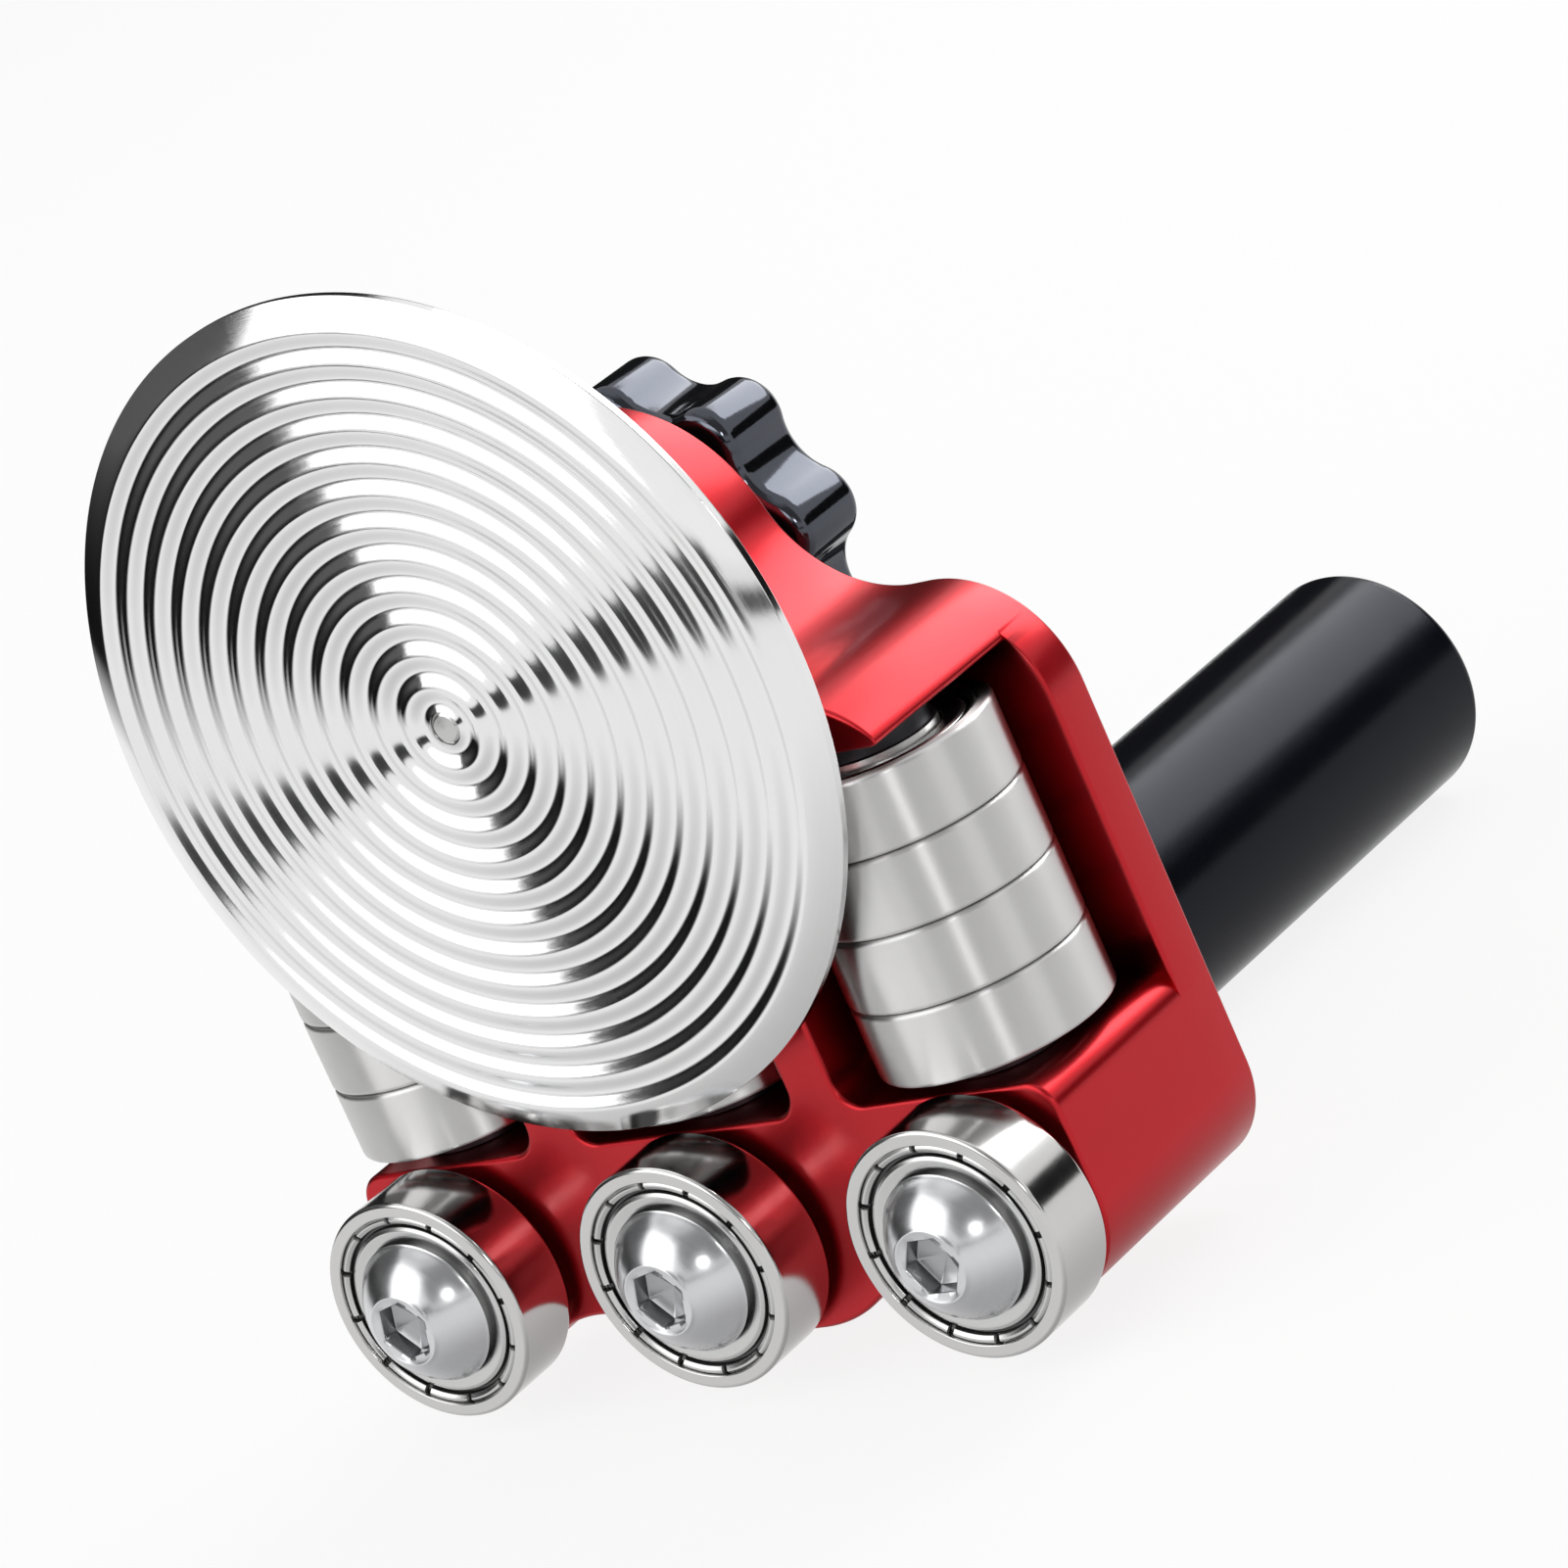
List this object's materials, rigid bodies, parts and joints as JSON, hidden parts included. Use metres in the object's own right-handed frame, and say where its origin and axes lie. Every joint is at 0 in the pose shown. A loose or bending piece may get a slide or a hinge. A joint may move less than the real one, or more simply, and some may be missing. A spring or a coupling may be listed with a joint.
{
  "type": "disc bender",
  "caption": "Hand-held disc bender: a rippled disc on a knob-set spindle pinches a sheet's edge against stacked bearing rollers above a row of guide bearings, with a straight handle.",
  "frame": {"origin": "where the handle's axis meets the back of the body", "axes": "+Y along the handle, away from the disc; +Z from the guide row up to the spindle; +X to the right seen from the disc"},
  "size_m": [0.085, 0.125, 0.1067],
  "materials": {
    "red_anodised": "satin red anodised",
    "black_grip": "satin black anodised",
    "black_knob": "gloss black moulding",
    "polished_steel": "polished, turned ripples",
    "bearing_steel": "ground bearing steel",
    "shield_steel": "pressed steel shield",
    "screw_steel": "stainless steel",
    "bronze": "turned bronze"
  },
  "bodies": {
    "frame": {"body": "red_anodised", "handle": "black_grip", "handle_stud": "screw_steel", "spindle_bush": "bronze", "roller_axles": "screw_steel", "axle_washers": "screw_steel", "guide_screws": "screw_steel", "guide_spacers": "screw_steel", "inner_rings": "bearing_steel"},
    "thrust_washer": {"thrust_washer": "bronze"},
    "knob_and_spindle": {"spindle": "screw_steel", "knob": "black_knob"},
    "disc_and_hub": {"disc": "polished_steel", "disc_hub": "polished_steel", "retaining_ring": "screw_steel"},
    "left_roller_1": {"left_roller_1_ring": "bearing_steel", "left_roller_1_shields": "shield_steel"},
    "left_roller_1_ball_set": {"left_roller_1_balls": "bearing_steel"},
    "left_roller_2": {"left_roller_2_ring": "bearing_steel", "left_roller_2_shields": "shield_steel"},
    "left_roller_2_ball_set": {"left_roller_2_balls": "bearing_steel"},
    "left_roller_3": {"left_roller_3_ring": "bearing_steel", "left_roller_3_shields": "shield_steel"},
    "left_roller_3_ball_set": {"left_roller_3_balls": "bearing_steel"},
    "left_roller_4": {"left_roller_4_ring": "bearing_steel", "left_roller_4_shields": "shield_steel"},
    "left_roller_4_ball_set": {"left_roller_4_balls": "bearing_steel"},
    "middle_roller_1": {"middle_roller_1_ring": "bearing_steel", "middle_roller_1_shields": "shield_steel"},
    "middle_roller_1_ball_set": {"middle_roller_1_balls": "bearing_steel"},
    "middle_roller_2": {"middle_roller_2_ring": "bearing_steel", "middle_roller_2_shields": "shield_steel"},
    "middle_roller_2_ball_set": {"middle_roller_2_balls": "bearing_steel"},
    "middle_roller_3": {"middle_roller_3_ring": "bearing_steel", "middle_roller_3_shields": "shield_steel"},
    "middle_roller_3_ball_set": {"middle_roller_3_balls": "bearing_steel"},
    "middle_roller_4": {"middle_roller_4_ring": "bearing_steel", "middle_roller_4_shields": "shield_steel"},
    "middle_roller_4_ball_set": {"middle_roller_4_balls": "bearing_steel"},
    "right_roller_1": {"right_roller_1_ring": "bearing_steel", "right_roller_1_shields": "shield_steel"},
    "right_roller_1_ball_set": {"right_roller_1_balls": "bearing_steel"},
    "right_roller_2": {"right_roller_2_ring": "bearing_steel", "right_roller_2_shields": "shield_steel"},
    "right_roller_2_ball_set": {"right_roller_2_balls": "bearing_steel"},
    "right_roller_3": {"right_roller_3_ring": "bearing_steel", "right_roller_3_shields": "shield_steel"},
    "right_roller_3_ball_set": {"right_roller_3_balls": "bearing_steel"},
    "right_roller_4": {"right_roller_4_ring": "bearing_steel", "right_roller_4_shields": "shield_steel"},
    "right_roller_4_ball_set": {"right_roller_4_balls": "bearing_steel"},
    "left_guide": {"left_guide_ring": "bearing_steel", "left_guide_shields": "shield_steel"},
    "left_guide_ball_set": {"left_guide_balls": "bearing_steel"},
    "middle_guide": {"middle_guide_ring": "bearing_steel", "middle_guide_shields": "shield_steel"},
    "middle_guide_ball_set": {"middle_guide_balls": "bearing_steel"},
    "right_guide": {"right_guide_ring": "bearing_steel", "right_guide_shields": "shield_steel"},
    "right_guide_ball_set": {"right_guide_balls": "bearing_steel"}
  },
  "joints": [
    {"name": "gap_slide", "type": "slide", "parent": "frame", "child": "thrust_washer", "axis": [0, -1, 0], "range_m": [-0.00031, 0.00125]},
    {"name": "knob_turn", "type": "hinge", "parent": "thrust_washer", "child": "knob_and_spindle", "pos_m": [0, 0, 0.0546], "axis": [0, -1, 0], "range_deg": [-90, 360]},
    {"name": "disc_spin", "type": "hinge", "parent": "thrust_washer", "child": "disc_and_hub", "pos_m": [0, 0, 0.0546], "axis": [0, 1, 0], "continuous": true},
    {"name": "left_roller_1_spin", "type": "hinge", "parent": "frame", "child": "left_roller_1", "pos_m": [-0.0315, -0.0168, 0.0381], "axis": [0, 0, 1], "continuous": true},
    {"name": "left_roller_1_orbit", "type": "hinge", "parent": "frame", "child": "left_roller_1_ball_set", "pos_m": [-0.0315, -0.0168, 0.0381], "axis": [0, 0, 1], "continuous": true},
    {"name": "left_roller_2_spin", "type": "hinge", "parent": "frame", "child": "left_roller_2", "pos_m": [-0.0315, -0.0168, 0.0311], "axis": [0, 0, 1], "continuous": true},
    {"name": "left_roller_2_orbit", "type": "hinge", "parent": "frame", "child": "left_roller_2_ball_set", "pos_m": [-0.0315, -0.0168, 0.0311], "axis": [0, 0, 1], "continuous": true},
    {"name": "left_roller_3_spin", "type": "hinge", "parent": "frame", "child": "left_roller_3", "pos_m": [-0.0315, -0.0168, 0.0241], "axis": [0, 0, 1], "continuous": true},
    {"name": "left_roller_3_orbit", "type": "hinge", "parent": "frame", "child": "left_roller_3_ball_set", "pos_m": [-0.0315, -0.0168, 0.0241], "axis": [0, 0, 1], "continuous": true},
    {"name": "left_roller_4_spin", "type": "hinge", "parent": "frame", "child": "left_roller_4", "pos_m": [-0.0315, -0.0168, 0.0171], "axis": [0, 0, 1], "continuous": true},
    {"name": "left_roller_4_orbit", "type": "hinge", "parent": "frame", "child": "left_roller_4_ball_set", "pos_m": [-0.0315, -0.0168, 0.0171], "axis": [0, 0, 1], "continuous": true},
    {"name": "middle_roller_1_spin", "type": "hinge", "parent": "frame", "child": "middle_roller_1", "pos_m": [0, -0.0168, 0.0381], "axis": [0, 0, 1], "continuous": true},
    {"name": "middle_roller_1_orbit", "type": "hinge", "parent": "frame", "child": "middle_roller_1_ball_set", "pos_m": [0, -0.0168, 0.0381], "axis": [0, 0, 1], "continuous": true},
    {"name": "middle_roller_2_spin", "type": "hinge", "parent": "frame", "child": "middle_roller_2", "pos_m": [0, -0.0168, 0.0311], "axis": [0, 0, 1], "continuous": true},
    {"name": "middle_roller_2_orbit", "type": "hinge", "parent": "frame", "child": "middle_roller_2_ball_set", "pos_m": [0, -0.0168, 0.0311], "axis": [0, 0, 1], "continuous": true},
    {"name": "middle_roller_3_spin", "type": "hinge", "parent": "frame", "child": "middle_roller_3", "pos_m": [0, -0.0168, 0.0241], "axis": [0, 0, 1], "continuous": true},
    {"name": "middle_roller_3_orbit", "type": "hinge", "parent": "frame", "child": "middle_roller_3_ball_set", "pos_m": [0, -0.0168, 0.0241], "axis": [0, 0, 1], "continuous": true},
    {"name": "middle_roller_4_spin", "type": "hinge", "parent": "frame", "child": "middle_roller_4", "pos_m": [0, -0.0168, 0.0171], "axis": [0, 0, 1], "continuous": true},
    {"name": "middle_roller_4_orbit", "type": "hinge", "parent": "frame", "child": "middle_roller_4_ball_set", "pos_m": [0, -0.0168, 0.0171], "axis": [0, 0, 1], "continuous": true},
    {"name": "right_roller_1_spin", "type": "hinge", "parent": "frame", "child": "right_roller_1", "pos_m": [0.0315, -0.0168, 0.0381], "axis": [0, 0, 1], "continuous": true},
    {"name": "right_roller_1_orbit", "type": "hinge", "parent": "frame", "child": "right_roller_1_ball_set", "pos_m": [0.0315, -0.0168, 0.0381], "axis": [0, 0, 1], "continuous": true},
    {"name": "right_roller_2_spin", "type": "hinge", "parent": "frame", "child": "right_roller_2", "pos_m": [0.0315, -0.0168, 0.0311], "axis": [0, 0, 1], "continuous": true},
    {"name": "right_roller_2_orbit", "type": "hinge", "parent": "frame", "child": "right_roller_2_ball_set", "pos_m": [0.0315, -0.0168, 0.0311], "axis": [0, 0, 1], "continuous": true},
    {"name": "right_roller_3_spin", "type": "hinge", "parent": "frame", "child": "right_roller_3", "pos_m": [0.0315, -0.0168, 0.0241], "axis": [0, 0, 1], "continuous": true},
    {"name": "right_roller_3_orbit", "type": "hinge", "parent": "frame", "child": "right_roller_3_ball_set", "pos_m": [0.0315, -0.0168, 0.0241], "axis": [0, 0, 1], "continuous": true},
    {"name": "right_roller_4_spin", "type": "hinge", "parent": "frame", "child": "right_roller_4", "pos_m": [0.0315, -0.0168, 0.0171], "axis": [0, 0, 1], "continuous": true},
    {"name": "right_roller_4_orbit", "type": "hinge", "parent": "frame", "child": "right_roller_4_ball_set", "pos_m": [0.0315, -0.0168, 0.0171], "axis": [0, 0, 1], "continuous": true},
    {"name": "left_guide_spin", "type": "hinge", "parent": "frame", "child": "left_guide", "pos_m": [-0.0315, -0.0295, 0.0012], "axis": [0, 1, 0], "continuous": true},
    {"name": "left_guide_orbit", "type": "hinge", "parent": "frame", "child": "left_guide_ball_set", "pos_m": [-0.0315, -0.0295, 0.0012], "axis": [0, 1, 0], "continuous": true},
    {"name": "middle_guide_spin", "type": "hinge", "parent": "frame", "child": "middle_guide", "pos_m": [0, -0.0295, 0.0012], "axis": [0, 1, 0], "continuous": true},
    {"name": "middle_guide_orbit", "type": "hinge", "parent": "frame", "child": "middle_guide_ball_set", "pos_m": [0, -0.0295, 0.0012], "axis": [0, 1, 0], "continuous": true},
    {"name": "right_guide_spin", "type": "hinge", "parent": "frame", "child": "right_guide", "pos_m": [0.0315, -0.0295, 0.0012], "axis": [0, 1, 0], "continuous": true},
    {"name": "right_guide_orbit", "type": "hinge", "parent": "frame", "child": "right_guide_ball_set", "pos_m": [0.0315, -0.0295, 0.0012], "axis": [0, 1, 0], "continuous": true}
  ],
  "couplings": [
    {"joint": "knob_turn", "follows": "gap_slide", "rad_per_m": 5026.5},
    {"joint": "left_roller_1_orbit", "follows": "left_roller_1_spin", "ratio": 0.6323},
    {"joint": "left_roller_2_orbit", "follows": "left_roller_2_spin", "ratio": 0.6323},
    {"joint": "left_roller_3_orbit", "follows": "left_roller_3_spin", "ratio": 0.6323},
    {"joint": "left_roller_4_orbit", "follows": "left_roller_4_spin", "ratio": 0.6323},
    {"joint": "middle_roller_1_orbit", "follows": "middle_roller_1_spin", "ratio": 0.6323},
    {"joint": "middle_roller_2_orbit", "follows": "middle_roller_2_spin", "ratio": 0.6323},
    {"joint": "middle_roller_3_orbit", "follows": "middle_roller_3_spin", "ratio": 0.6323},
    {"joint": "middle_roller_4_orbit", "follows": "middle_roller_4_spin", "ratio": 0.6323},
    {"joint": "right_roller_1_orbit", "follows": "right_roller_1_spin", "ratio": 0.6323},
    {"joint": "right_roller_2_orbit", "follows": "right_roller_2_spin", "ratio": 0.6323},
    {"joint": "right_roller_3_orbit", "follows": "right_roller_3_spin", "ratio": 0.6323},
    {"joint": "right_roller_4_orbit", "follows": "right_roller_4_spin", "ratio": 0.6323},
    {"joint": "left_guide_orbit", "follows": "left_guide_spin", "ratio": 0.6323},
    {"joint": "middle_guide_orbit", "follows": "middle_guide_spin", "ratio": 0.6323},
    {"joint": "right_guide_orbit", "follows": "right_guide_spin", "ratio": 0.6323}
  ]
}
